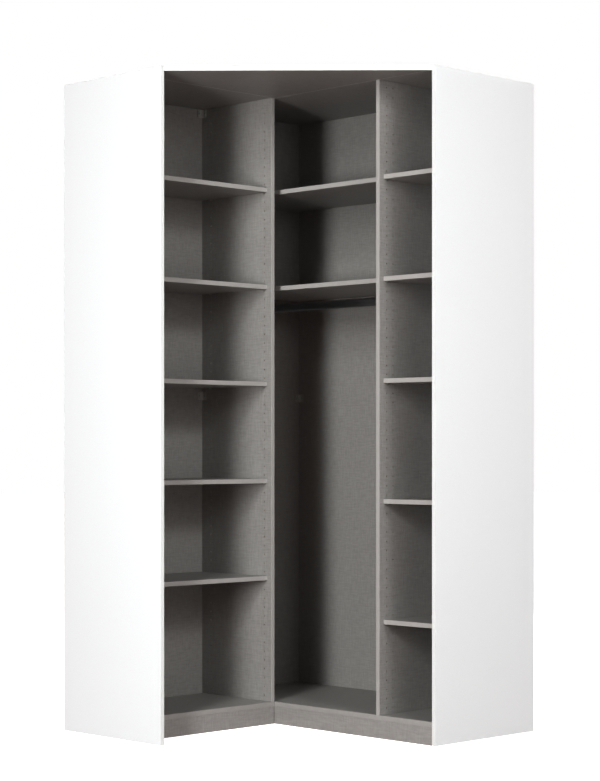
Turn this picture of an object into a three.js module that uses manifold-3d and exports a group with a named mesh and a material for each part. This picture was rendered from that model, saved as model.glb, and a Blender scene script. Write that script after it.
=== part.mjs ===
import * as THREE from 'three';
import { mergeVertices } from 'three/addons/utils/BufferGeometryUtils.js';
import Module from 'manifold-3d';

// Corner wardrobe carcass for the corner of a room, open at the front.
// Millimetres, +Z up, standing on z = 0 with the origin under the middle of its square footprint.
// One room wall is at -X and the other at +Y. The left wing stands along the -X wall and
// faces +X, and the right wing stands along the +Y wall and faces -Y.
// Places are distances from those two walls: fromLeft (along +X) and fromBack (along -Y).

// Driving sizes of the carcass
const wallRun = 1175;
const height = 2285;
const boardThickness = 16;
const panelDepth = 523;
const leftWingDepth = 398;
const columnWidth = 241;
const plinthHeight = 64;

// Backs: thin sheets let into grooves near the rear edges of the upright boards
const backRecess = 20;
const backThickness = 3;
const grooveDepth = 6;

// Clearances
const seam = 0.25;
const shelfSideClearance = 0.75;
const shelfBackClearance = 2;

// Drilling pattern of the upright boards
const holePitch = 32;
const holeDiameter = 5;
const holeDepth = 11;
const holeSides = 6;
const firstLevelRise = 8;
const frontRowInset = 37;
const rearRowInset = 50;

// Levels of the shelf tops, as shares of the drilled height that round to whole steps of it
const leftShelfShares = [0.206, 0.368, 0.529, 0.691, 0.853];
const columnShelfShares = [0.147, 0.338, 0.529, 0.691, 0.853];
const hangingShelfShares = [0.691, 0.853];
const middleShelfShare = 0.529;

// Shelf fronts, behind the front plane of their wing
const looseShelfSetback = 20;
const hangingShelfSetback = 55;

// Shelf pins
const pinDiameter = 5;
const pinReach = 6.5;
const pinGrip = 8;
const pinSides = 8;

// Hidden rails under the bottom boards
const rearRailInset = 40;

// Clothes rail and its sockets
const railHeight = 30;
const railWidth = 15;
const railWall = 1.25;
const railDrop = 46;
const socketWall = 3;
const socketDepth = 14;
const socketFloor = 3;
const roundSteps = 6;

// Corner clips that hold the backs to the upright boards
const clipLeg = 24;
const clipWall = 4;
const clipWeb = 12;
const clipHeight = 30;
const clipDrop = 14;

// Dowels across the two seams of the top
const dowelDiameter = 8;
const dowelLength = 30;
const dowelPlaceShares = [0.2, 0.8];
const dowelSides = 12;

// Places that follow from the sizes above
const backFace = backRecess + backThickness;
const floorTop = plinthHeight + boardThickness;
const ceiling = height - boardThickness;
const firstLevel = floorTop + firstLevelRise;
const levelCount = Math.floor((ceiling - firstLevel) / holePitch);
const endPanelFace = wallRun - boardThickness;
const cornerPanelFace = backRecess;
const partitionFrom = panelDepth + seam;
const partitionFace = partitionFrom + boardThickness;
const dividerFace = endPanelFace - columnWidth;
const dividerFrom = dividerFace - boardThickness;
const dividerMiddle = dividerFrom + boardThickness / 2;
const hangingShelfUnderside = levelOf(stepOf(hangingShelfShares[0])) - boardThickness;
const railLevel = hangingShelfUnderside - railDrop;
const railFromBack = (backFace + panelDepth) / 2;

const wasm = await Module();
wasm.setup();

const wardrobe = new THREE.Group();
wardrobe.name = 'corner_wardrobe';

// Finishes

function linenBoard() {
  return new THREE.MeshStandardMaterial({ color: 0x9c9890, roughness: 0.55, metalness: 0 });
}

function whiteBoard() {
  return new THREE.MeshStandardMaterial({ color: 0xf2f2f0, roughness: 0.4, metalness: 0 });
}

function backSheet() {
  return new THREE.MeshStandardMaterial({ color: 0x8f8b84, roughness: 0.65, metalness: 0 });
}

function satinMetal() {
  return new THREE.MeshStandardMaterial({ color: 0xb9bbbd, roughness: 0.3, metalness: 1 });
}

function greyPlastic() {
  return new THREE.MeshStandardMaterial({ color: 0xc9c8c4, roughness: 0.5, metalness: 0 });
}

function beech() {
  return new THREE.MeshStandardMaterial({ color: 0xcfa878, roughness: 0.7, metalness: 0 });
}

// Shapes

function worldX(fromLeft) {
  return fromLeft - wallRun / 2;
}

function worldY(fromBack) {
  return wallRun / 2 - fromBack;
}

// The drilling step nearest to a share of the drilled height, and the level of a shelf's top there
function stepOf(share) {
  return Math.round(share * levelCount);
}

function levelOf(step) {
  return firstLevel + step * holePitch;
}

// A box between two distances from the left wall, two from the back wall and two heights
function block(fromLeft, fromBack, heights) {
  const sizeX = fromLeft[1] - fromLeft[0];
  const sizeY = fromBack[1] - fromBack[0];
  const sizeZ = heights[1] - heights[0];
  const shape = new THREE.BoxGeometry(sizeX, sizeY, sizeZ);
  const middleX = worldX((fromLeft[0] + fromLeft[1]) / 2);
  const middleY = worldY((fromBack[0] + fromBack[1]) / 2);
  return shape.translate(middleX, middleY, (heights[0] + heights[1]) / 2);
}

// A round bar, lying along world X or Y, with a flat of its many sides on top
function bar(axis, diameter, sides, length, fromLeft, fromBack, level) {
  const shape = new THREE.CylinderGeometry(diameter / 2, diameter / 2, length, sides);
  shape.rotateY(Math.PI / sides);
  if (axis === 'x') {
    shape.rotateZ(Math.PI / 2);
  }
  return shape.translate(worldX(fromLeft), worldY(fromBack), level);
}

function toSolid(geometry) {
  const bare = geometry.clone();
  bare.deleteAttribute('normal');
  bare.deleteAttribute('uv');
  const merged = mergeVertices(bare);
  return new wasm.Manifold(new wasm.Mesh({
    numProp: 3,
    vertProperties: new Float32Array(merged.attributes.position.array),
    triVerts: new Uint32Array(merged.index.array),
  }));
}

function toGeometry(solid) {
  const mesh = solid.getMesh();
  const geometry = new THREE.BufferGeometry();
  geometry.setAttribute('position', new THREE.BufferAttribute(mesh.vertProperties, mesh.numProp));
  geometry.setIndex(new THREE.BufferAttribute(mesh.triVerts, 1));
  geometry.computeVertexNormals();
  return geometry;
}

function shaped(geometry, cuts, joins) {
  const cut = wasm.Manifold.difference([toSolid(geometry), ...cuts.map(toSolid)]);
  return toGeometry(wasm.Manifold.union([cut, ...joins.map(toSolid)]));
}

// Each node's geometry is stored around its own middle, and the mesh stands at that middle
function addNode(name, geometry, material) {
  geometry.computeBoundingBox();
  const middle = geometry.boundingBox.getCenter(new THREE.Vector3());
  geometry.translate(-middle.x, -middle.y, -middle.z);
  const mesh = new THREE.Mesh(geometry, material);
  mesh.name = name;
  mesh.position.copy(middle);
  wardrobe.add(mesh);
}

// Rows of blind holes in the face of an upright board, one row near the front and one near
// the back, and a pin in each of the two holes under every loose shelf. The shelf lies on the
// flat on top of the pins.

const pinFlat = (pinDiameter / 2) * Math.cos(Math.PI / pinSides);

function holeLevel(step) {
  return levelOf(step) - boardThickness - seam - pinFlat;
}

// A bar square to a board's face, in a hole row, from one depth inside the face to another outside
function rowBar(board, row, step, diameter, sides, inside, outside) {
  const middle = board.face + board.side * (outside - inside) / 2;
  const place = board.axis === 'x' ? [middle, row] : [row, middle];
  return bar(board.axis, diameter, sides, inside + outside, place[0], place[1], holeLevel(step));
}

function rowsOf(board) {
  return [board.frontPlane - frontRowInset, backFace + rearRowInset];
}

function pins(board) {
  const found = [];
  for (const share of board.shelfShares) {
    for (const row of rowsOf(board)) {
      found.push(rowBar(board, row, stepOf(share), pinDiameter, pinSides, pinGrip, pinReach));
    }
  }
  return found;
}

function openHoles(board) {
  const taken = board.shelfShares.map(stepOf);
  const found = [];
  for (let step = 1; step <= levelCount; step += 1) {
    if (!taken.includes(step)) {
      for (const row of rowsOf(board)) {
        found.push(rowBar(board, row, step, holeDiameter, holeSides, holeDepth, holeDepth));
      }
    }
  }
  return found;
}

// An upright board with its grooves, its hole rows and its shelf pins
function drilled(geometry, grooves, board) {
  return shaped(geometry, [...grooves, ...openHoles(board)], pins(board));
}

// The groove for a back sheet in the face of an upright board
function grooveSpan() {
  return [backRecess - seam, backFace + seam];
}

function addSidePanels() {
  const fullHeight = [0, height];
  const overHeight = [-boardThickness, height + boardThickness];
  const acrossFace = [endPanelFace - grooveDepth, endPanelFace + grooveDepth];

  const leftPanel = block([0, panelDepth], [endPanelFace, wallRun], fullHeight);
  const leftGroove = block(grooveSpan(), acrossFace, overHeight);
  const leftFace = {
    axis: 'y',
    face: endPanelFace,
    side: -1,
    frontPlane: leftWingDepth,
    shelfShares: leftShelfShares,
  };
  addNode('left_side_panel', drilled(leftPanel, [leftGroove], leftFace), whiteBoard());

  const rightPanel = block([endPanelFace, wallRun], [0, panelDepth], fullHeight);
  const rightGroove = block(acrossFace, grooveSpan(), overHeight);
  const rightFace = {
    axis: 'x',
    face: endPanelFace,
    side: -1,
    frontPlane: panelDepth,
    shelfShares: columnShelfShares,
  };
  addNode('right_side_panel', drilled(rightPanel, [rightGroove], rightFace), whiteBoard());
}

// The uprights between the bottom and top boards, and the full-height one in the room corner
function addUprights() {
  const standing = [floorTop + seam, ceiling - seam];

  const partition = block([0, leftWingDepth], [partitionFrom, partitionFace], standing);
  const partitionGroove = block(
    grooveSpan(),
    [partitionFace - grooveDepth, partitionFace + grooveDepth],
    [floorTop, ceiling],
  );
  const bayFace = {
    axis: 'y',
    face: partitionFace,
    side: 1,
    frontPlane: leftWingDepth,
    shelfShares: leftShelfShares,
  };
  addNode('corner_partition', drilled(partition, [partitionGroove], bayFace), linenBoard());

  const divider = block([dividerFrom, dividerFace], [backFace + seam, panelDepth], standing);
  const columnFace = {
    axis: 'x',
    face: dividerFace,
    side: 1,
    frontPlane: panelDepth,
    shelfShares: columnShelfShares,
  };
  addNode('column_divider', drilled(divider, [], columnFace), linenBoard());

  addNode(
    'corner_side_panel',
    block([cornerPanelFace - boardThickness, cornerPanelFace], [backFace + seam, panelDepth], [0, height]),
    linenBoard(),
  );
}

// Bottom boards, the plinths under their front edges and the hidden rails near the walls
function addBase() {
  const onPlinth = [plinthHeight, floorTop];
  const underBoard = [0, plinthHeight - seam];
  const leftRun = [panelDepth + seam, endPanelFace - seam];
  const rightRun = [cornerPanelFace + seam, endPanelFace - seam];
  const rearRail = [rearRailInset, rearRailInset + boardThickness];

  addNode('left_bottom_board', block([backFace + seam, leftWingDepth], leftRun, onPlinth), linenBoard());
  addNode('right_bottom_board', block(rightRun, [backFace + seam, panelDepth], onPlinth), linenBoard());
  const leftFront = [leftWingDepth - boardThickness, leftWingDepth];
  const rightFront = [panelDepth - boardThickness, panelDepth];
  addNode('left_plinth', block(leftFront, leftRun, underBoard), linenBoard());
  addNode('right_plinth', block(rightRun, rightFront, underBoard), linenBoard());
  addNode('left_rear_rail', block(rearRail, leftRun, underBoard), linenBoard());
  addNode('right_rear_rail', block(rightRun, rearRail, underBoard), linenBoard());
}

// The top in three boards: one over each wing, and one whose long diagonal edge closes the
// front between the two side panels. Dowels hold the front board to the other two.

function dowelPlaces() {
  const found = [];
  for (const share of dowelPlaceShares) {
    const alongRight = leftWingDepth + share * (endPanelFace - leftWingDepth);
    const alongLeft = panelDepth + share * (endPanelFace - panelDepth);
    found.push({ name: 'right', axis: 'y', fromLeft: alongRight, fromBack: panelDepth + seam / 2 });
    found.push({ name: 'left', axis: 'x', fromLeft: leftWingDepth + seam / 2, fromBack: alongLeft });
  }
  return found;
}

function dowelBores() {
  const boreDiameter = dowelDiameter + 2 * seam;
  const boreLength = dowelLength + 2 * seam;
  const level = height - boardThickness / 2;
  return dowelPlaces().map(
    (place) => bar(place.axis, boreDiameter, dowelSides, boreLength, place.fromLeft, place.fromBack, level),
  );
}

function frontTopBoard() {
  const outline = new THREE.Shape([
    new THREE.Vector2(worldX(leftWingDepth + seam), worldY(panelDepth + seam)),
    new THREE.Vector2(worldX(leftWingDepth + seam), worldY(endPanelFace - seam)),
    new THREE.Vector2(worldX(panelDepth + seam), worldY(endPanelFace - seam)),
    new THREE.Vector2(worldX(endPanelFace - seam), worldY(panelDepth + seam)),
  ]);
  const board = new THREE.ExtrudeGeometry(outline, { depth: boardThickness, bevelEnabled: false });
  return board.translate(0, 0, ceiling);
}

function addTop() {
  const onTop = [ceiling, height];
  const left = block([backFace + seam, leftWingDepth], [panelDepth + seam, endPanelFace - seam], onTop);
  const right = block([cornerPanelFace + seam, endPanelFace - seam], [backFace + seam, panelDepth], onTop);
  addNode('left_top_board', shaped(left, dowelBores(), []), whiteBoard());
  addNode('right_top_board', shaped(right, dowelBores(), []), whiteBoard());
  addNode('corner_top_board', shaped(frontTopBoard(), dowelBores(), []), whiteBoard());

  const level = height - boardThickness / 2;
  const counts = { left: 0, right: 0 };
  for (const place of dowelPlaces()) {
    counts[place.name] += 1;
    addNode(
      `top_dowel_${place.name}_${counts[place.name]}`,
      bar(place.axis, dowelDiameter, dowelSides, dowelLength, place.fromLeft, place.fromBack, level),
      beech(),
    );
  }
}

// Backs of the left bay, the hanging bay and the narrow column
function addBacks() {
  const sheetHeight = [plinthHeight, height];
  const sheetDepth = [backRecess, backFace];
  const letIn = grooveDepth - 2 * seam;
  const bayRun = [partitionFace - letIn, endPanelFace + letIn];
  const hangingRun = [cornerPanelFace - boardThickness, dividerMiddle - seam];
  const columnRun = [dividerMiddle + seam, endPanelFace + letIn];
  addNode('left_bay_back', block(sheetDepth, bayRun, sheetHeight), backSheet());
  addNode('hanging_bay_back', block(hangingRun, sheetDepth, sheetHeight), backSheet());
  addNode('column_back', block(columnRun, sheetDepth, sheetHeight), backSheet());
}

// Five loose shelves in the left bay and five in the column, on pins, and two fixed ones
// over the clothes rail
function addShelves() {
  leftShelfShares.forEach((share, index) => {
    const top = levelOf(stepOf(share));
    addNode(
      `left_shelf_${index + 1}`,
      block(
        [backFace + shelfBackClearance, leftWingDepth - looseShelfSetback],
        [partitionFace + shelfSideClearance, endPanelFace - shelfSideClearance],
        [top - boardThickness, top],
      ),
      linenBoard(),
    );
  });
  columnShelfShares.forEach((share, index) => {
    const top = levelOf(stepOf(share));
    addNode(
      `column_shelf_${index + 1}`,
      block(
        [dividerFace + shelfSideClearance, endPanelFace - shelfSideClearance],
        [backFace + shelfBackClearance, panelDepth - looseShelfSetback],
        [top - boardThickness, top],
      ),
      linenBoard(),
    );
  });
  hangingShelfShares.forEach((share, index) => {
    const top = levelOf(stepOf(share));
    addNode(
      `hanging_shelf_${index + 1}`,
      block(
        [cornerPanelFace + seam, dividerFrom - seam],
        [backFace + shelfBackClearance, panelDepth - hangingShelfSetback],
        [top - boardThickness, top],
      ),
      linenBoard(),
    );
  });
}

// An upright oval of two half rounds, extruded along world X
function ovalBar(tall, wide, fromLeft) {
  const radius = wide / 2;
  const straight = tall / 2 - radius;
  const outline = new THREE.Shape();
  outline.absarc(straight, 0, radius, -Math.PI / 2, Math.PI / 2, false);
  outline.absarc(-straight, 0, radius, Math.PI / 2, Math.PI * 3 / 2, false);
  const shape = new THREE.ExtrudeGeometry(outline, {
    depth: fromLeft[1] - fromLeft[0],
    bevelEnabled: false,
    curveSegments: roundSteps,
  });
  shape.rotateY(Math.PI / 2);
  return shape.translate(worldX(fromLeft[0]), worldY(railFromBack), railLevel);
}

// The oval clothes rail, with each end in a socket screwed to an upright
function addClothesRail() {
  const socketTall = railHeight + 2 * (seam + socketWall);
  const socketWide = railWidth + 2 * (seam + socketWall);
  const leftSocket = [cornerPanelFace + seam, cornerPanelFace + seam + socketDepth];
  const rightSocket = [dividerFrom - seam - socketDepth, dividerFrom - seam];
  const pocketEnds = [leftSocket[0] + socketFloor, rightSocket[1] - socketFloor];
  const pocket = ovalBar(railHeight + 2 * seam, railWidth + 2 * seam, pocketEnds);

  const leftCup = ovalBar(socketTall, socketWide, leftSocket);
  const rightCup = ovalBar(socketTall, socketWide, rightSocket);
  addNode('rail_socket_left', shaped(leftCup, [pocket], []), satinMetal());
  addNode('rail_socket_right', shaped(rightCup, [pocket], []), satinMetal());

  const rail = ovalBar(railHeight, railWidth, [pocketEnds[0] + seam, pocketEnds[1] - seam]);
  const bore = ovalBar(railHeight - 2 * railWall, railWidth - 2 * railWall, pocketEnds);
  addNode('clothes_rail', shaped(rail, [bore], []), satinMetal());
}

// A plastic corner clip between a back sheet and an upright board, in the corner between
// two faces. Its two legs lie along them, and a slanting web joins the legs.
function clip(cornerX, cornerY, signX, signY, heights) {
  const near = seam;
  const far = seam + clipLeg;
  const wall = seam + clipWall;
  const web = seam + clipWeb;
  const outline = new THREE.Shape([
    new THREE.Vector2(near * signX, near * signY),
    new THREE.Vector2(far * signX, near * signY),
    new THREE.Vector2(far * signX, wall * signY),
    new THREE.Vector2(web * signX, wall * signY),
    new THREE.Vector2(wall * signX, web * signY),
    new THREE.Vector2(wall * signX, far * signY),
    new THREE.Vector2(near * signX, far * signY),
  ]);
  const shape = new THREE.ExtrudeGeometry(outline, { depth: heights[1] - heights[0], bevelEnabled: false });
  return shape.translate(cornerX, cornerY, heights[0]);
}

function addClips() {
  const clipTop = levelOf(stepOf(middleShelfShare)) - boardThickness - clipDrop;
  const middle = [clipTop - clipHeight, clipTop];
  const atCeiling = [ceiling - seam - clipHeight, ceiling - seam];
  const leftBackX = worldX(backFace);
  const rightBackY = worldY(backFace);
  addNode('clip_partition', clip(leftBackX, worldY(partitionFace), 1, -1, middle), greyPlastic());
  addNode('clip_left_panel', clip(leftBackX, worldY(endPanelFace), 1, 1, middle), greyPlastic());
  addNode('clip_room_corner', clip(worldX(cornerPanelFace), rightBackY, 1, -1, middle), greyPlastic());
  addNode('clip_divider_left', clip(worldX(dividerFrom), rightBackY, -1, -1, middle), greyPlastic());
  addNode('clip_divider_right', clip(worldX(dividerFace), rightBackY, 1, -1, middle), greyPlastic());
  addNode('clip_right_panel', clip(worldX(endPanelFace), rightBackY, -1, -1, middle), greyPlastic());
  addNode('clip_partition_top', clip(leftBackX, worldY(partitionFace), 1, -1, atCeiling), greyPlastic());
  addNode('clip_left_panel_top', clip(leftBackX, worldY(endPanelFace), 1, 1, atCeiling), greyPlastic());
}

addSidePanels();
addUprights();
addBase();
addTop();
addBacks();
addShelves();
addClothesRail();
addClips();

export default wardrobe;
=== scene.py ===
import math

import bmesh
import bpy
from mathutils import Matrix, Vector


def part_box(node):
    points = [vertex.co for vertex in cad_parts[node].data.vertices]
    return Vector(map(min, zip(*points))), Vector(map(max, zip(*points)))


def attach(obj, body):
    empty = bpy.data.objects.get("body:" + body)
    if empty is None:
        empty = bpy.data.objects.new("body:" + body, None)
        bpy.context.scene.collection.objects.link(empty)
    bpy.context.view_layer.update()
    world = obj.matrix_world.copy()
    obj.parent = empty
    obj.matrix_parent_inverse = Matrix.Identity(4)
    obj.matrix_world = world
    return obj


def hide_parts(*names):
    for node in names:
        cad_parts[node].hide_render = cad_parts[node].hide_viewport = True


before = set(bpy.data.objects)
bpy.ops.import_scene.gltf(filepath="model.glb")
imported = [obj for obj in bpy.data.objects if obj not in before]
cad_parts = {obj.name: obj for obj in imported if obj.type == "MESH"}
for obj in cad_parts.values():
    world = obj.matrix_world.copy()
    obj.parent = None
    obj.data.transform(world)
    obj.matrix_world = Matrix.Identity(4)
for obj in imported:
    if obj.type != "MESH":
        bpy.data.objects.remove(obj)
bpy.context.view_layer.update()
scene = bpy.context.scene

# Camera
# The wardrobe is seen from its open diagonal front by a level camera a metre above the floor,
# seven metres away, with a long lens that is shifted up and sideways to frame it.
camera_place = Vector((5.0541, -4.9905, 1.0018))
camera_direction = Vector((-0.7169, 0.6972, 0))
camera_data = bpy.data.cameras.new("camera")
camera_data.lens = 92.53
camera_data.shift_x = 0.0213
camera_data.shift_y = 0.073
camera = bpy.data.objects.new("camera", camera_data)
camera.location = camera_place
camera.rotation_mode = "QUATERNION"
camera.rotation_quaternion = camera_direction.to_track_quat("-Z", "Y")
scene.collection.objects.link(camera)
scene.camera = camera

# Studio
# A plain white room with a pale, slightly warm floor. Soft boxes face the wardrobe: a bright bank
# to the left of the camera, a weaker one to the right, and one each above and behind.
scene.view_settings.view_transform = "Standard"
scene.view_settings.gamma = 0.85
backdrop_white = 1.0
room_light = 0.06
light_from_above = (0.85, 1.25, 1.45, 1)
light_from_below = (3, 0.6, 0.2, 1)
floor_colour = "#f4f4f2"
floor_half_width = 30
floor_glow = 1.0
studio_middle = Vector((0.05, -0.05, 1.2))


def linear(colour):
    """An sRGB hex colour as the linear values that shaders take."""
    brightest = 255
    toe, toe_slope, offset, power = 0.04045, 12.92, 0.055, 2.4
    values = [channel / brightest for channel in bytes.fromhex(colour.lstrip("#"))]
    straight = [v / toe_slope if v <= toe else ((v + offset) / (1 + offset)) ** power for v in values]
    return (*straight, 1)


def add_node(owner, kind, settings, links):
    """Adds a node to a material or world, with its attributes, sockets and links by name."""
    node = owner.node_tree.nodes.new(kind)
    for name, value in settings.items():
        if name in node.bl_rna.properties:
            setattr(node, name, value)
        else:
            node.inputs[name].default_value = value
    for name, source in links.items():
        owner.node_tree.links.new(source, node.inputs[name])
    return node


studio = bpy.data.worlds.new("studio")
scene.world = studio
studio.use_nodes = True
studio.node_tree.nodes.clear()
# The camera sees a white wall. The wardrobe feels a faint light, cool from above and warm from below.
seen_wall = add_node(
    studio,
    "ShaderNodeBackground",
    {"Color": (1, 1, 1, 1), "Strength": backdrop_white},
    {},
)
direction = add_node(studio, "ShaderNodeTexCoord", {}, {})
split = add_node(studio, "ShaderNodeSeparateXYZ", {}, {"Vector": direction.outputs["Generated"]})
height = add_node(
    studio,
    "ShaderNodeMapRange",
    {"From Min": -1, "From Max": 1},
    {"Value": split.outputs["Z"]},
)
tint = add_node(studio, "ShaderNodeValToRGB", {}, {"Fac": height.outputs["Result"]})
tint.color_ramp.elements[0].color = light_from_below
tint.color_ramp.elements[1].color = light_from_above
felt_wall = add_node(
    studio,
    "ShaderNodeBackground",
    {"Strength": room_light},
    {"Color": tint.outputs["Color"]},
)
ray = add_node(studio, "ShaderNodeLightPath", {}, {})
wall = add_node(
    studio,
    "ShaderNodeMixShader",
    {},
    {
        "Fac": ray.outputs["Is Camera Ray"],
        1: felt_wall.outputs["Background"],
        2: seen_wall.outputs["Background"],
    },
)
add_node(studio, "ShaderNodeOutputWorld", {}, {"Surface": wall.outputs["Shader"]})


def material(name):
    """A new material with its main shader, and that shader."""
    made = bpy.data.materials.new(name)
    made.use_nodes = True
    return made, made.node_tree.nodes["Principled BSDF"]


floor_paint, floor_shader = material("pale studio floor")
floor_shader.inputs["Base Color"].default_value = linear(floor_colour)
floor_shader.inputs["Roughness"].default_value = 0.9
floor_shader.inputs["Emission Color"].default_value = (1, 1, 1, 1)
floor_shader.inputs["Emission Strength"].default_value = floor_glow
floor_shape = bmesh.new()
bmesh.ops.create_grid(floor_shape, x_segments=1, y_segments=1, size=floor_half_width)
floor_mesh = bpy.data.meshes.new("floor")
floor_shape.to_mesh(floor_mesh)
floor_shape.free()
floor_mesh.materials.append(floor_paint)
floor = bpy.data.objects.new("floor", floor_mesh)
floor.visible_diffuse = False
scene.collection.objects.link(floor)

# Turns are in degrees, clockwise from the +X side as seen from above
soft_boxes = {
    "left far soft box": {"turn": 64, "distance": 9, "height": 5.6, "size": (1.8, 1.4), "watts": 190},
    "left high soft box": {"turn": 68, "distance": 4.6, "height": 2.9, "size": (0.6, 0.7), "watts": 47},
    "left middle soft box": {"turn": 66, "distance": 4.6, "height": 2.1, "size": (0.6, 0.7), "watts": 42},
    "left low soft box": {"turn": 70, "distance": 4.6, "height": 1, "size": (0.8, 0.7), "watts": 104},
    "right far soft box": {"turn": 11, "distance": 9, "height": 5.3, "size": (2.4, 1.4), "watts": 168},
    "right high soft box": {"turn": 10, "distance": 3.4, "height": 2.8, "size": (0.9, 0.7), "watts": 24},
    "right low soft box": {"turn": 10, "distance": 3.4, "height": 0.7, "size": (0.9, 0.7), "watts": 9},
    "right fill soft box": {"turn": 26, "distance": 5, "height": 2.2, "size": (1.05, 1.05), "watts": 30},
    "right side soft box": {"turn": -20, "distance": 3.8, "height": 1.2, "size": (0.6, 0.7), "watts": 15},
    "overhead soft box": {"turn": 225, "distance": 0.7, "height": 4.8, "size": (1.6, 1.6), "watts": 50},
    "rear soft box": {"turn": 225, "distance": 4.6, "height": 2.6, "size": (1.2, 1.6), "watts": 180},
}
for name, box in soft_boxes.items():
    light = bpy.data.lights.new(name, "AREA")
    light.shape = "RECTANGLE"
    light.size, light.size_y = box["size"]
    light.energy = box["watts"]
    holder = bpy.data.objects.new(name, light)
    turn = math.radians(box["turn"])
    reach = Vector((math.cos(turn), -math.sin(turn), 0)) * box["distance"]
    holder.location = (studio_middle.x + reach.x, studio_middle.y + reach.y, box["height"])
    holder.rotation_mode = "QUATERNION"
    holder.rotation_quaternion = (studio_middle - holder.location).to_track_quat("-Z", "Y")
    holder.visible_camera = False
    holder.visible_glossy = False
    scene.collection.objects.link(holder)

# Side panels
# Two full-height boards of melamine-faced chipboard: white outside, linen print inside, with a
# white edge band at the front and raw chipboard where the edges face the wall and the floor.
# The inner faces are drilled with rows of blind holes and grooved for the back sheets.
board_thickness = 0.016
band_thickness = 0.001
edge_round = 0.0006
round_steps = 2
groove_depth = 0.006
groove_clearance = 0.00025
right_angle = math.pi / 2


def linen_print(name, warp_pitch, weft_pitch):
    """Melamine paper printed as linen. Each pitch is the spacing of its threads along X, Y and Z.

    Real threads are about 1 mm apart. They are drawn 5 mm apart, because the render's pixels
    are over 3 mm wide, and uneven, which gives the eye the faint crossed streaks of the print."""
    shade, middle, light = linear("#8e8d8a"), linear("#969592"), linear("#9e9d9a")
    made, shader = material(name)
    place = add_node(made, "ShaderNodeTexCoord", {}, {})
    threads = []
    for pitch in (warp_pitch, weft_pitch):
        scale = [1 / length for length in pitch]
        way = add_node(made, "ShaderNodeMapping", {"Scale": scale}, {"Vector": place.outputs["Object"]})
        threads.append(
            add_node(
                made,
                "ShaderNodeTexNoise",
                {"Scale": 1, "Detail": 2, "Roughness": 0.6},
                {"Vector": way.outputs["Vector"]},
            )
        )
    woven = add_node(
        made,
        "ShaderNodeMath",
        {"operation": "ADD"},
        {0: threads[0].outputs["Fac"], 1: threads[1].outputs["Fac"]},
    )
    tone = add_node(made, "ShaderNodeValToRGB", {}, {})
    spread = add_node(
        made,
        "ShaderNodeMapRange",
        {"From Min": 0.7, "From Max": 1.3},
        {"Value": woven.outputs["Value"]},
    )
    made.node_tree.links.new(spread.outputs["Result"], tone.inputs["Fac"])
    ramp = tone.color_ramp
    ramp.elements[0].color = shade
    ramp.elements[1].color = light
    ramp.elements.new(0.5).color = middle
    made.node_tree.links.new(tone.outputs["Color"], shader.inputs["Base Color"])
    relief = add_node(
        made,
        "ShaderNodeBump",
        {"Strength": 0.3, "Distance": 0.0001},
        {"Height": woven.outputs["Value"]},
    )
    made.node_tree.links.new(relief.outputs["Normal"], shader.inputs["Normal"])
    shader.inputs["Roughness"].default_value = 0.5
    shader.inputs["IOR"].default_value = 1.5
    return made


thread = 0.005
slub = 0.04
upright_linen = linen_print("linen print, uprights", (thread, thread, slub), (slub, slub, thread))
level_linen = linen_print("linen print, shelves", (slub, thread, slub), (thread, slub, slub))


def grained(name, colours, pitch, roughness, relief_height, metallic=0):
    """A material whose tone wanders between two colours in grains of the given size along X, Y and Z."""
    made, shader = material(name)
    place = add_node(made, "ShaderNodeTexCoord", {}, {})
    scale = [1 / length for length in pitch]
    way = add_node(made, "ShaderNodeMapping", {"Scale": scale}, {"Vector": place.outputs["Object"]})
    grain = add_node(
        made,
        "ShaderNodeTexNoise",
        {"Scale": 1, "Detail": 3, "Roughness": 0.6},
        {"Vector": way.outputs["Vector"]},
    )
    tone = add_node(made, "ShaderNodeValToRGB", {}, {"Fac": grain.outputs["Fac"]})
    tone.color_ramp.elements[0].position = 0.3
    tone.color_ramp.elements[1].position = 0.7
    tone.color_ramp.elements[0].color = linear(colours[0])
    tone.color_ramp.elements[1].color = linear(colours[1])
    made.node_tree.links.new(tone.outputs["Color"], shader.inputs["Base Color"])
    relief = add_node(
        made,
        "ShaderNodeBump",
        {"Strength": 0.5, "Distance": relief_height},
        {"Height": grain.outputs["Fac"]},
    )
    made.node_tree.links.new(relief.outputs["Normal"], shader.inputs["Normal"])
    shader.inputs["Roughness"].default_value = roughness
    shader.inputs["Metallic"].default_value = metallic
    if not metallic:
        shader.inputs["IOR"].default_value = 1.5
    return made


# White melamine paper, brightened to a cool white and pressed with a faint pearl texture, drawn at 3 mm
white_melamine = grained("white melamine", ("#ebf1f2", "#f1f7f8"), (0.003, 0.003, 0.003), 0.4, 0.00003)
# Edge bands of ABS plastic, rolled smooth and matt, whose tone drifts very faintly
white_band = grained("white ABS edge band", ("#dfe4e3", "#e4e9e8"), (0.02, 0.02, 0.003), 0.35, 0.00002)
grey_band = grained("grey ABS edge band", ("#a9a8a5", "#aeadaa"), (0.02, 0.02, 0.02), 0.4, 0.00002)
linen_band = grained("linen-toned ABS edge band", ("#9d9c99", "#a3a29f"), (0.02, 0.02, 0.02), 0.4, 0.00002)


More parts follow.
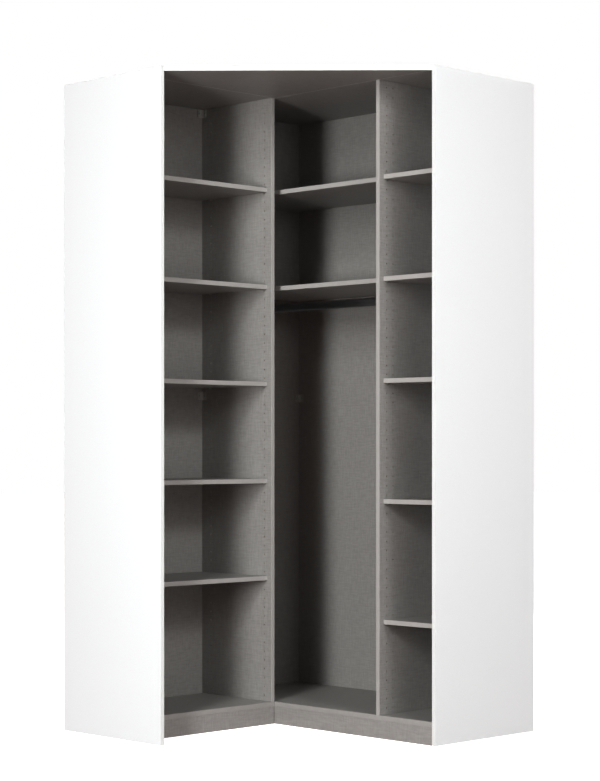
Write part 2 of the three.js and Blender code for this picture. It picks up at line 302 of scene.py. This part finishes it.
def chipboard_edge():
    """The raw edge of chipboard: wood chips about 3 mm wide in many tan tones, with rough seams."""
    chip_width = 0.003125
    made, shader = material("raw chipboard edge")
    place = add_node(made, "ShaderNodeTexCoord", {}, {})
    chip = add_node(
        made,
        "ShaderNodeTexVoronoi",
        {"Scale": 1 / chip_width, "Randomness": 1},
        {"Vector": place.outputs["Object"]},
    )
    tone = add_node(made, "ShaderNodeValToRGB", {}, {"Fac": chip.outputs["Color"]})
    tone.color_ramp.elements[0].color = linear("#8f6d45")
    tone.color_ramp.elements[1].color = linear("#d8bd90")
    made.node_tree.links.new(tone.outputs["Color"], shader.inputs["Base Color"])
    relief = add_node(
        made,
        "ShaderNodeBump",
        {"Strength": 0.6, "Distance": 0.0004},
        {"Height": chip.outputs["Distance"]},
    )
    made.node_tree.links.new(relief.outputs["Normal"], shader.inputs["Normal"])
    shader.inputs["Roughness"].default_value = 0.85
    shader.inputs["IOR"].default_value = 1.5
    return made


chipboard = chipboard_edge()
# The walls of the drilled holes: chipboard, but greyer and a little darker than a sawn edge. That is
# painted shade, which sets how dark the holes look
drilled = grained("drilled chipboard", ("#948b7d", "#a9a092"), (0.002, 0.002, 0.002), 0.9, 0.0002)


def way_of(side):
    """The unit direction of a side such as "+X", or of a slanting one such as "+X-Y"."""
    direction = Vector((0, 0, 0))
    for sign, axis in zip(side[::2], side[1::2]):
        direction["XYZ".index(axis)] = 1 if sign == "+" else -1
    return direction.normalized()


def add_piece(name, shape, finishes):
    """Makes a bmesh into an object with its finishes, and frees the bmesh."""
    mesh = bpy.data.meshes.new(name)
    shape.to_mesh(mesh)
    shape.free()
    for finish in finishes:
        mesh.materials.append(finish)
    made = bpy.data.objects.new(name, mesh)
    scene.collection.objects.link(made)
    return made


def add_box(shape, low, high):
    """Adds a box between two corners to a bmesh."""
    made = bmesh.ops.create_cube(shape, size=1)["verts"]
    bmesh.ops.scale(shape, vec=high - low, verts=made)
    bmesh.ops.translate(shape, vec=(low + high) / 2, verts=made)


def bevel(shape, edges, width):
    """Rounds the given edges of a bmesh."""
    bmesh.ops.bevel(
        shape,
        geom=edges,
        offset=width,
        segments=round_steps,
        profile=0.5,
        affect="EDGES",
        material=-1,
    )


def soften(shape, width):
    """Rounds every edge of a bmesh where two faces meet at more than half a right angle."""
    sharp = [edge for edge in shape.edges if edge.is_manifold and edge.calc_face_angle(0) > right_angle / 2]
    bevel(shape, sharp, width)


def looks_to(face, side):
    """Whether a face looks to a side, rather than to one at a right angle to it."""
    least_share = 0.5
    return face.normal.dot(way_of(side)) > least_share


def face_board(name, shape, skins, bands):
    """Makes a bmesh into a faced board. skins gives the finish of each faced side and bands the
    finish of each side with an edge band. All other sides are raw chipboard."""
    reach = {side: max(corner.co.dot(way_of(side)) for corner in shape.verts) for side in bands}
    for side in bands:
        facing = way_of(side)
        seam = facing * (reach[side] - band_thickness)
        everything = shape.verts[:] + shape.edges[:] + shape.faces[:]
        bmesh.ops.bisect_plane(shape, geom=everything, plane_co=seam, plane_no=facing)
    finishes = list(dict.fromkeys([chipboard, *skins.values(), *bands.values()]))
    for face in shape.faces:
        middle = face.calc_center_median()
        finish = chipboard
        for side, skin in skins.items():
            if looks_to(face, side):
                finish = skin
        for side, band in bands.items():
            if middle.dot(way_of(side)) > reach[side] - band_thickness:
                finish = band
        face.material_index = finishes.index(finish)
    soften(shape, edge_round)
    return add_piece(name, shape, finishes)


def board(name, low, high, skins, bands):
    """A straight faced board between two corners."""
    shape = bmesh.new()
    add_box(shape, low, high)
    return face_board(name, shape, skins, bands)


# Holes 5 mm wide and 11 mm deep in rows with a pitch of 32 mm. A row near the front and one near
# the back are for shelf pins, and where a door can hang a second front row is for hinge plates.
# The levels for a shelf's top start a small rise over the bottom boards, and the middle of a pin is
# a small drop under the shelf.
hole_radius = 0.0025
hole_depth = 0.011
hole_sides = 12
hole_pitch = 0.032
pin_drop = 0.00256
lowest_rise = 0.008
lowest_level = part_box("left_bottom_board")[1].z + lowest_rise
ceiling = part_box("corner_top_board")[0].z
hole_origin = lowest_level - board_thickness - pin_drop
hole_count = int((ceiling - lowest_level) / hole_pitch)
front_rows = (0.037, 0.069)
rear_row = 0.073
hole_overrun = 0.002


def turned(angle, axis):
    """The matrix that turns a shape about world X, Y or Z."""
    matrix_size = 4
    return Matrix.Rotation(angle, matrix_size, axis)


def add_rod(shape, middle, axis, radius, length, sides):
    """Adds a round rod along world X, Y or Z to a bmesh."""
    turns = {"X": (right_angle, "Y"), "Y": (right_angle, "X"), "Z": (0, "Z")}
    bmesh.ops.create_cone(
        shape,
        cap_ends=True,
        segments=sides,
        radius1=radius,
        radius2=radius,
        depth=length,
        matrix=Matrix.Translation(middle) @ turned(*turns[axis]),
    )


def in_face(face_side, face_place, row, level, depth):
    """A place at a row and a level of an upright's face, sunk by a depth. The face looks to
    face_side and lies at face_place."""
    axis = face_side[1]
    along = "Y" if axis == "X" else "X"
    place = Vector((0, 0, level))
    place["XY".index(axis)] = face_place
    place["XY".index(along)] = row
    return place - way_of(face_side) * depth


def drill(shape, face_side, face_place, rows):
    """Adds rods for rows of holes in an upright's face to a cutter."""
    middle_depth = (hole_depth - hole_overrun) / 2
    for row in rows:
        for step in range(1, hole_count + 1):
            middle = in_face(face_side, face_place, row, hole_origin + hole_pitch * step, middle_depth)
            add_rod(shape, middle, face_side[1], hole_radius, hole_depth + hole_overrun, hole_sides)


def cut(piece, shape):
    """Takes a bmesh out of a board. The new walls are drilled chipboard, whose colour is painted shade."""
    cutter = add_piece("cutter", shape, [drilled])
    change = piece.modifiers.new("cut", "BOOLEAN")
    change.object = cutter
    change.solver = "EXACT"
    change.material_mode = "TRANSFER"
    bpy.context.view_layer.update()
    seen = piece.evaluated_get(bpy.context.evaluated_depsgraph_get())
    whole = piece.data
    piece.data = bpy.data.meshes.new_from_object(seen)
    piece.data.name = piece.name
    piece.modifiers.clear()
    bpy.data.objects.remove(cutter)
    bpy.data.meshes.remove(whole)


# The room walls and the fronts of the two wings, from the solids
back_low, back_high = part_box("left_bay_back")
back_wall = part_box("right_side_panel")[1].y
left_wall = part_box("left_side_panel")[0].x
left_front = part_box("left_bottom_board")[1].x
right_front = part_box("right_bottom_board")[0].y

low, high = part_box("left_side_panel")
high.y = low.y + board_thickness
left_panel = board(
    "left_side_panel_board",
    low,
    high,
    {"-Y": white_melamine, "+Y": upright_linen},
    {"+X": white_band},
)
shape = bmesh.new()
drill(shape, "+Y", high.y, [left_front - inset for inset in front_rows] + [left_wall + rear_row])
groove_low = Vector((back_low.x - groove_clearance, high.y - groove_depth, low.z - hole_overrun))
groove_high = Vector((back_high.x + groove_clearance, high.y + hole_overrun, high.z + hole_overrun))
add_box(shape, groove_low, groove_high)
cut(left_panel, shape)
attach(left_panel, "carcass")
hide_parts("left_side_panel")

low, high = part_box("right_side_panel")
low.x = high.x - board_thickness
right_panel = board(
    "right_side_panel_board",
    low,
    high,
    {"+X": white_melamine, "-X": upright_linen},
    {"-Y": white_band},
)
shape = bmesh.new()
drill(shape, "-X", low.x, [right_front + inset for inset in front_rows] + [back_wall - rear_row])
column_back_low, column_back_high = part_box("column_back")
groove_low = Vector((low.x - hole_overrun, column_back_low.y - groove_clearance, low.z - hole_overrun))
groove_high = Vector((low.x + groove_depth, column_back_high.y + groove_clearance, high.z + hole_overrun))
add_box(shape, groove_low, groove_high)
cut(right_panel, shape)
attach(right_panel, "carcass")
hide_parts("right_side_panel")

# Uprights between the bottom and top boards, and the one in the room corner
# The same chipboard with linen print on both faces and a lighter grey edge band at the front.
# The partition ends the left wing and the divider makes the narrow column. Both are drilled, and
# the partition, which carries no door, has a single row at the front.
low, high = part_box("corner_partition")
low.y = high.y - board_thickness
partition = board(
    "corner_partition_board",
    low,
    high,
    {"-Y": upright_linen, "+Y": upright_linen},
    {"+X": grey_band},
)
shape = bmesh.new()
drill(shape, "-Y", low.y, [left_front - front_rows[0], left_wall + rear_row])
groove_low = Vector((back_low.x - groove_clearance, low.y - hole_overrun, low.z - hole_overrun))
groove_high = Vector((back_high.x + groove_clearance, low.y + groove_depth, high.z + hole_overrun))
add_box(shape, groove_low, groove_high)
cut(partition, shape)
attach(partition, "carcass")
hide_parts("corner_partition")

low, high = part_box("column_divider")
high.x = low.x + board_thickness
divider = board(
    "column_divider_board",
    low,
    high,
    {"-X": upright_linen, "+X": upright_linen},
    {"-Y": grey_band},
)
shape = bmesh.new()
drill(shape, "+X", high.x, [right_front + inset for inset in front_rows] + [back_wall - rear_row])
cut(divider, shape)
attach(divider, "carcass")
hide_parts("column_divider")

low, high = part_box("corner_side_panel")
corner_panel = board(
    "corner_side_panel_board",
    low,
    high,
    {"-X": upright_linen, "+X": upright_linen},
    {"-Y": grey_band},
)
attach(corner_panel, "carcass")
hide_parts("corner_side_panel")

# Base
# Two bottom boards, each on a plinth board that stands flush with its front edge and on a rail
# near the wall. All are chipboard with linen print and edge bands of the same tone, doweled to
# the side panels. The plinths meet in an open joint at the inner corner.
plinth_joint = 0.003
for node, front in (("left_bottom_board", "+X"), ("right_bottom_board", "-Y")):
    low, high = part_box(node)
    bottom = board(node + "_faced", low, high, {"+Z": level_linen, "-Z": level_linen}, {front: linen_band})
    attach(bottom, "carcass")
    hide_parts(node)
plinths = {
    "left_plinth": ("+X", "-X"),
    "right_plinth": ("-Y", "+Y"),
    "left_rear_rail": ("+X", "-X"),
    "right_rear_rail": ("-Y", "+Y"),
}
for node, sides in plinths.items():
    low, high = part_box(node)
    if node == "left_plinth":
        high.y -= plinth_joint
    plinth = board(node + "_faced", low, high, dict.fromkeys(sides, upright_linen), {"+Z": linen_band})
    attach(plinth, "carcass")
    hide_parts(node)

# Top
# Three boards, white above and linen below, with white bands: one over each wing, and one in
# front of them whose long diagonal edge closes the front. Beech dowels hold the seams.
dowel_clearance = 0.00025
dowel_sides = 16
dowels = [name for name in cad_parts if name.startswith("top_dowel")]


def dowel_bores():
    """A cutter for the bores of all the dowels in the top."""
    shape = bmesh.new()
    for node in dowels:
        low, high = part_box(node)
        size = high - low
        axis = "X" if size.x > size.y else "Y"
        radius = size.z / 2 + dowel_clearance
        length = max(size.x, size.y) + 2 * dowel_clearance
        add_rod(shape, (low + high) / 2, axis, radius, length, dowel_sides)
    return shape


def add_prism(shape, outline, base, height):
    """Adds an upright prism to a bmesh, from its outline in X and Y and the level of its base."""
    sheet = shape.faces.new([shape.verts.new((x, y, base)) for x, y in outline])
    lifted = bmesh.ops.extrude_face_region(shape, geom=[sheet])
    raised = [part for part in lifted["geom"] if isinstance(part, bmesh.types.BMVert)]
    bmesh.ops.translate(shape, vec=(0, 0, height), verts=raised)
    bmesh.ops.recalc_face_normals(shape, faces=shape.faces)


top_skins = {"+Z": white_melamine, "-Z": level_linen}
for node, front in (("left_top_board", "+X"), ("right_top_board", "-Y")):
    low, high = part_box(node)
    top = board(node + "_faced", low, high, top_skins, {front: white_band})
    cut(top, dowel_bores())
    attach(top, "carcass")
    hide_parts(node)

low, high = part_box("corner_top_board")
panel_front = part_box("left_side_panel")[1].x
shape = bmesh.new()
corners = [(low.x, high.y), (low.x, low.y), (panel_front, low.y), (high.x, right_front)]
add_prism(shape, corners, low.z, high.z - low.z)
top_bands = dict.fromkeys(("-X", "+Y", "+X-Y"), white_band)
front_top = face_board("corner_top_board_faced", shape, top_skins, top_bands)
cut(front_top, dowel_bores())
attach(front_top, "carcass")
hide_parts("corner_top_board")

# Turned beech, unfinished and pale, with the short flecks of its rays at 1 mm
beech = grained("raw beech", ("#b98d5c", "#d9b483"), (0.001, 0.001, 0.001), 0.7, 0.0001)
for node in dowels:
    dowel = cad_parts[node]
    dowel.data.materials.clear()
    dowel.data.materials.append(beech)

# Backs
# Three sheets of 3 mm hardboard, let into the grooves of the uprights. Their front has the
# linen print and their back is the bare brown board, with the mark of the pressing sieve.
hardboard = grained("bare hardboard", ("#6e4f33", "#8d6a48"), (0.003, 0.003, 0.012), 0.8, 0.0002)
sheet_round = 0.0003
backs = {"left_bay_back": "+X", "hanging_bay_back": "-Y", "column_back": "-Y"}
for node, front in backs.items():
    low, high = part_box(node)
    shape = bmesh.new()
    add_box(shape, low, high)
    finishes = [hardboard, upright_linen]
    for face in shape.faces:
        face.material_index = finishes.index(upright_linen if looks_to(face, front) else hardboard)
    soften(shape, sheet_round)
    back = add_piece(node + "_sheet", shape, finishes)
    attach(back, "carcass")
    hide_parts(node)

# Shelves
# Chipboard with linen print above and below and a grey edge band at the front; the other edges
# are raw. Ten shelves lie loose on their pins, and the two over the rail are fixed.
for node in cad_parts:
    if "_shelf_" not in node:
        continue
    low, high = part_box(node)
    front = "+X" if node.startswith("left") else "-Y"
    shelf = board(node + "_faced", low, high, {"+Z": level_linen, "-Z": level_linen}, {front: grey_band})
    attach(shelf, "carcass" if node.startswith("hanging") else "loose_" + node)
    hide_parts(node)

# Shelf pins
# Nickel-plated steel pins, pushed into the holes under each loose shelf, two at either side. Their
# ends are rounded, and the plate has the soft, slightly yellow shine of barrel work.
nickel = grained(
    "nickel-plated steel",
    ("#a9a8a4", "#bebdb8"),
    (0.002, 0.002, 0.002),
    0.3,
    0.00001,
    metallic=1,
)
pin_radius = 0.0023
pin_grip = 0.008
pin_reach = 0.0065
pin_sides = 16
pin_round = 0.0006


def add_pins(name, face_side, face_place, rows, shelves):
    """The pins in one face of an upright board, for the given shelves, as one piece."""
    shape = bmesh.new()
    middle_depth = (pin_grip - pin_reach) / 2
    for node in shelves:
        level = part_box(node)[0].z - pin_drop
        for row in rows:
            middle = in_face(face_side, face_place, row, level, middle_depth)
            add_rod(shape, middle, face_side[1], pin_radius, pin_reach + pin_grip, pin_sides)
    soften(shape, pin_round)
    pins = add_piece(name, shape, [nickel])
    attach(pins, "carcass")


left_shelves = [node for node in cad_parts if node.startswith("left_shelf")]
column_shelves = [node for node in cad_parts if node.startswith("column_shelf")]
left_rows = (left_front - front_rows[0], left_wall + rear_row)
column_rows = (right_front + front_rows[0], back_wall - rear_row)
panel_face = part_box("left_side_panel")[0].y + board_thickness
partition_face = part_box("corner_partition")[1].y - board_thickness
divider_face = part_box("column_divider")[0].x + board_thickness
end_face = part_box("right_side_panel")[1].x - board_thickness
add_pins("pins_left_side_panel", "+Y", panel_face, left_rows, left_shelves)
add_pins("pins_corner_partition", "-Y", partition_face, left_rows, left_shelves)
add_pins("pins_column_divider", "+X", divider_face, column_rows, column_shelves)
add_pins("pins_right_side_panel", "-X", end_face, column_rows, column_shelves)

# Clothes rail
# A chromed steel tube of upright oval section, 30 by 15 mm, drawn from strip and plated, that
# lies in two cast sockets screwed to the corner panel and the divider.
# The satin chrome is a soft, cool grey mirror with faint drawing lines along the tube
chrome = grained(
    "satin chrome plate",
    ("#9a9da0", "#a8abae"),
    (0.05, 0.002, 0.002),
    0.3,
    0.00001,
    metallic=1,
)
rail_wall = 0.00125
oval_sides = 48


def oval(shape, tall, wide, middle):
    """Adds the outline of an upright oval to a bmesh, facing along X."""
    half_side = math.pi / oval_sides
    place = Matrix.Translation(middle) @ turned(right_angle, "Y") @ turned(half_side, "Z")
    ring = bmesh.ops.create_circle(shape, segments=oval_sides, radius=wide / 2, matrix=place)["verts"]
    half_straight = (tall - wide) / 2
    upper = [corner for corner in ring if corner.co.z > middle.z]
    lower = [corner for corner in ring if corner.co.z < middle.z]
    bmesh.ops.translate(shape, vec=(0, 0, half_straight), verts=upper)
    bmesh.ops.translate(shape, vec=(0, 0, -half_straight), verts=lower)


def extend(shape, parts, reach):
    """Extrudes edges along X and returns the edges at the far end."""
    grown = bmesh.ops.extrude_edge_only(shape, edges=parts)["geom"]
    moved = [part for part in grown if isinstance(part, bmesh.types.BMVert)]
    bmesh.ops.translate(shape, vec=(reach, 0, 0), verts=moved)
    return [part for part in grown if isinstance(part, bmesh.types.BMEdge)]


low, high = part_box("clothes_rail")
size = high - low
shape = bmesh.new()
start = Vector((low.x, (low.y + high.y) / 2, (low.z + high.z) / 2))
oval(shape, size.z, size.y, start)
extend(shape, shape.edges[:], size.x)
bmesh.ops.recalc_face_normals(shape, faces=shape.faces)
bmesh.ops.solidify(shape, geom=shape.faces[:], thickness=rail_wall)
bmesh.ops.recalc_face_normals(shape, faces=shape.faces)
rail = add_piece("clothes_rail_tube", shape, [chrome])
rail.data.shade_smooth()
rail.data.set_sharp_from_angle(angle=right_angle / 2)
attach(rail, "carcass")
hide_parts("clothes_rail")

# Cast zinc under silver-grey lacquer, which scatters light where the plated tube mirrors the dark bay
cast_zinc = grained("lacquered cast zinc", ("#9b9d9d", "#a6a8a8"), (0.004, 0.004, 0.004), 0.35, 0.00003)
socket_wall = 0.003
socket_round = 0.0008
for node, opening in (("rail_socket_left", 1), ("rail_socket_right", -1)):
    low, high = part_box(node)
    size = high - low
    shape = bmesh.new()
    foot_x = low.x if opening > 0 else high.x
    foot = Vector((foot_x, (low.y + high.y) / 2, (low.z + high.z) / 2))
    oval(shape, size.z, size.y, foot)
    base = shape.edges[:]
    rim = extend(shape, base, opening * size.x)
    inner_rim = extend(shape, rim, 0)
    middle = Vector((foot_x + opening * size.x, foot.y, foot.z))
    inner_verts = list(dict.fromkeys(corner for edge in inner_rim for corner in edge.verts))
    inner_ratio_z = (size.z - 2 * socket_wall) / size.z
    inner_ratio_y = (size.y - 2 * socket_wall) / size.y
    bmesh.ops.scale(
        shape,
        vec=(1, inner_ratio_y, inner_ratio_z),
        verts=inner_verts,
        space=Matrix.Translation(-middle),
    )
    floor_rim = extend(shape, inner_rim, -opening * (size.x - socket_wall))
    bmesh.ops.edgeloop_fill(shape, edges=floor_rim)
    bmesh.ops.edgeloop_fill(shape, edges=base)
    bmesh.ops.recalc_face_normals(shape, faces=shape.faces)
    soften(shape, socket_round)
    socket = add_piece(node + "_cup", shape, [cast_zinc])
    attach(socket, "carcass")
    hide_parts(node)

# Corner clips
# Small injection-moulded plastic brackets that hold the back sheets to the uprights: two legs
# joined by a slanting web, each leg fixed with a cross-headed screw. Their pale grey skin is matt.
clip_plastic = grained("moulded grey plastic", ("#a2a39e", "#adaea9"), (0.004, 0.004, 0.004), 0.45, 0.00003)
clip_leg = 0.024
clip_wall = 0.004
clip_web = 0.012
clip_round = 0.0007
screw_radius = 0.0032
screw_height = 0.0016
screw_round = 0.0007
screw_sides = 20
cross_width = 0.0009
cross_length = 0.0036
cross_depth = 0.0009
screw_from_corner = 0.018
# Zinc plate on steel, which is bright but not smooth
zinc_screw = grained(
    "zinc-plated screw",
    ("#8f908f", "#a6a7a5"),
    (0.002, 0.002, 0.002),
    0.4,
    0.00001,
    metallic=1,
)
clip_finishes = [clip_plastic, zinc_screw]


def crown_of(shape):
    """The level faces on the upper side of a screw head, without its rounded rim."""
    level_share = 0.9
    return [face for face in shape.faces if face.normal.z > level_share]


def screw_head():
    """The mesh of a low screw head with a cross recess, at the origin, facing +Z."""
    shape = bmesh.new()
    add_rod(shape, Vector((0, 0, screw_height / 2)), "Z", screw_radius, screw_height, screw_sides)
    bevel(shape, list(crown_of(shape)[0].edges), screw_round)
    for axis in (0, 1):
        for place in (-cross_length / 2, -cross_width / 2, cross_width / 2, cross_length / 2):
            crown = crown_of(shape)
            around = dict.fromkeys(corner for face in crown for corner in face.verts)
            edges = dict.fromkeys(edge for face in crown for edge in face.edges)
            line, facing = Vector(), Vector()
            line[axis] = place
            facing[axis] = 1
            bmesh.ops.bisect_plane(shape, geom=[*around, *edges, *crown], plane_co=line, plane_no=facing)
    recess = []
    for face in crown_of(shape):
        middle = face.calc_center_median()
        near, far = sorted((abs(middle.x), abs(middle.y)))
        if near < cross_width / 2 and far < cross_length / 2:
            recess.append(face)
    sunk = bmesh.ops.extrude_face_region(shape, geom=recess)
    bmesh.ops.delete(shape, geom=recess, context="FACES_ONLY")
    lowered = [part for part in sunk["geom"] if isinstance(part, bmesh.types.BMVert)]
    bmesh.ops.translate(shape, vec=(0, 0, -cross_depth), verts=lowered)
    for face in shape.faces:
        face.material_index = clip_finishes.index(zinc_screw)
    head = bpy.data.meshes.new("screw head")
    shape.to_mesh(head)
    shape.free()
    return head


# The ways along X and Y in which each clip's two legs reach from its corner
clips = {
    "clip_partition": (1, -1),
    "clip_left_panel": (1, 1),
    "clip_room_corner": (1, -1),
    "clip_divider_left": (-1, -1),
    "clip_divider_right": (1, -1),
    "clip_right_panel": (-1, -1),
    "clip_partition_top": (1, -1),
    "clip_left_panel_top": (1, 1),
}
for node, (sign_x, sign_y) in clips.items():
    low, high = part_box(node)
    height = high.z - low.z
    corner = Vector((low.x if sign_x > 0 else high.x, low.y if sign_y > 0 else high.y, low.z))
    shape = bmesh.new()
    outline = [
        (0, 0),
        (clip_leg, 0),
        (clip_leg, clip_wall),
        (clip_web, clip_wall),
        (clip_wall, clip_web),
        (clip_wall, clip_leg),
        (0, clip_leg),
    ]
    add_prism(shape, outline, 0, height)
    soften(shape, clip_round)
    for place, angle, axis in (
        ((screw_from_corner, clip_wall, height / 2), -right_angle, "X"),
        ((clip_wall, screw_from_corner, height / 2), right_angle, "Y"),
    ):
        head = screw_head()
        head.transform(Matrix.Translation(place) @ turned(angle, axis))
        shape.from_mesh(head)
        bpy.data.meshes.remove(head)
    bmesh.ops.scale(shape, vec=(sign_x, sign_y, 1), verts=shape.verts)
    bmesh.ops.translate(shape, vec=corner, verts=shape.verts)
    bmesh.ops.recalc_face_normals(shape, faces=shape.faces)
    clip = add_piece(node + "_bracket", shape, clip_finishes)
    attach(clip, "carcass")
    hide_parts(node)
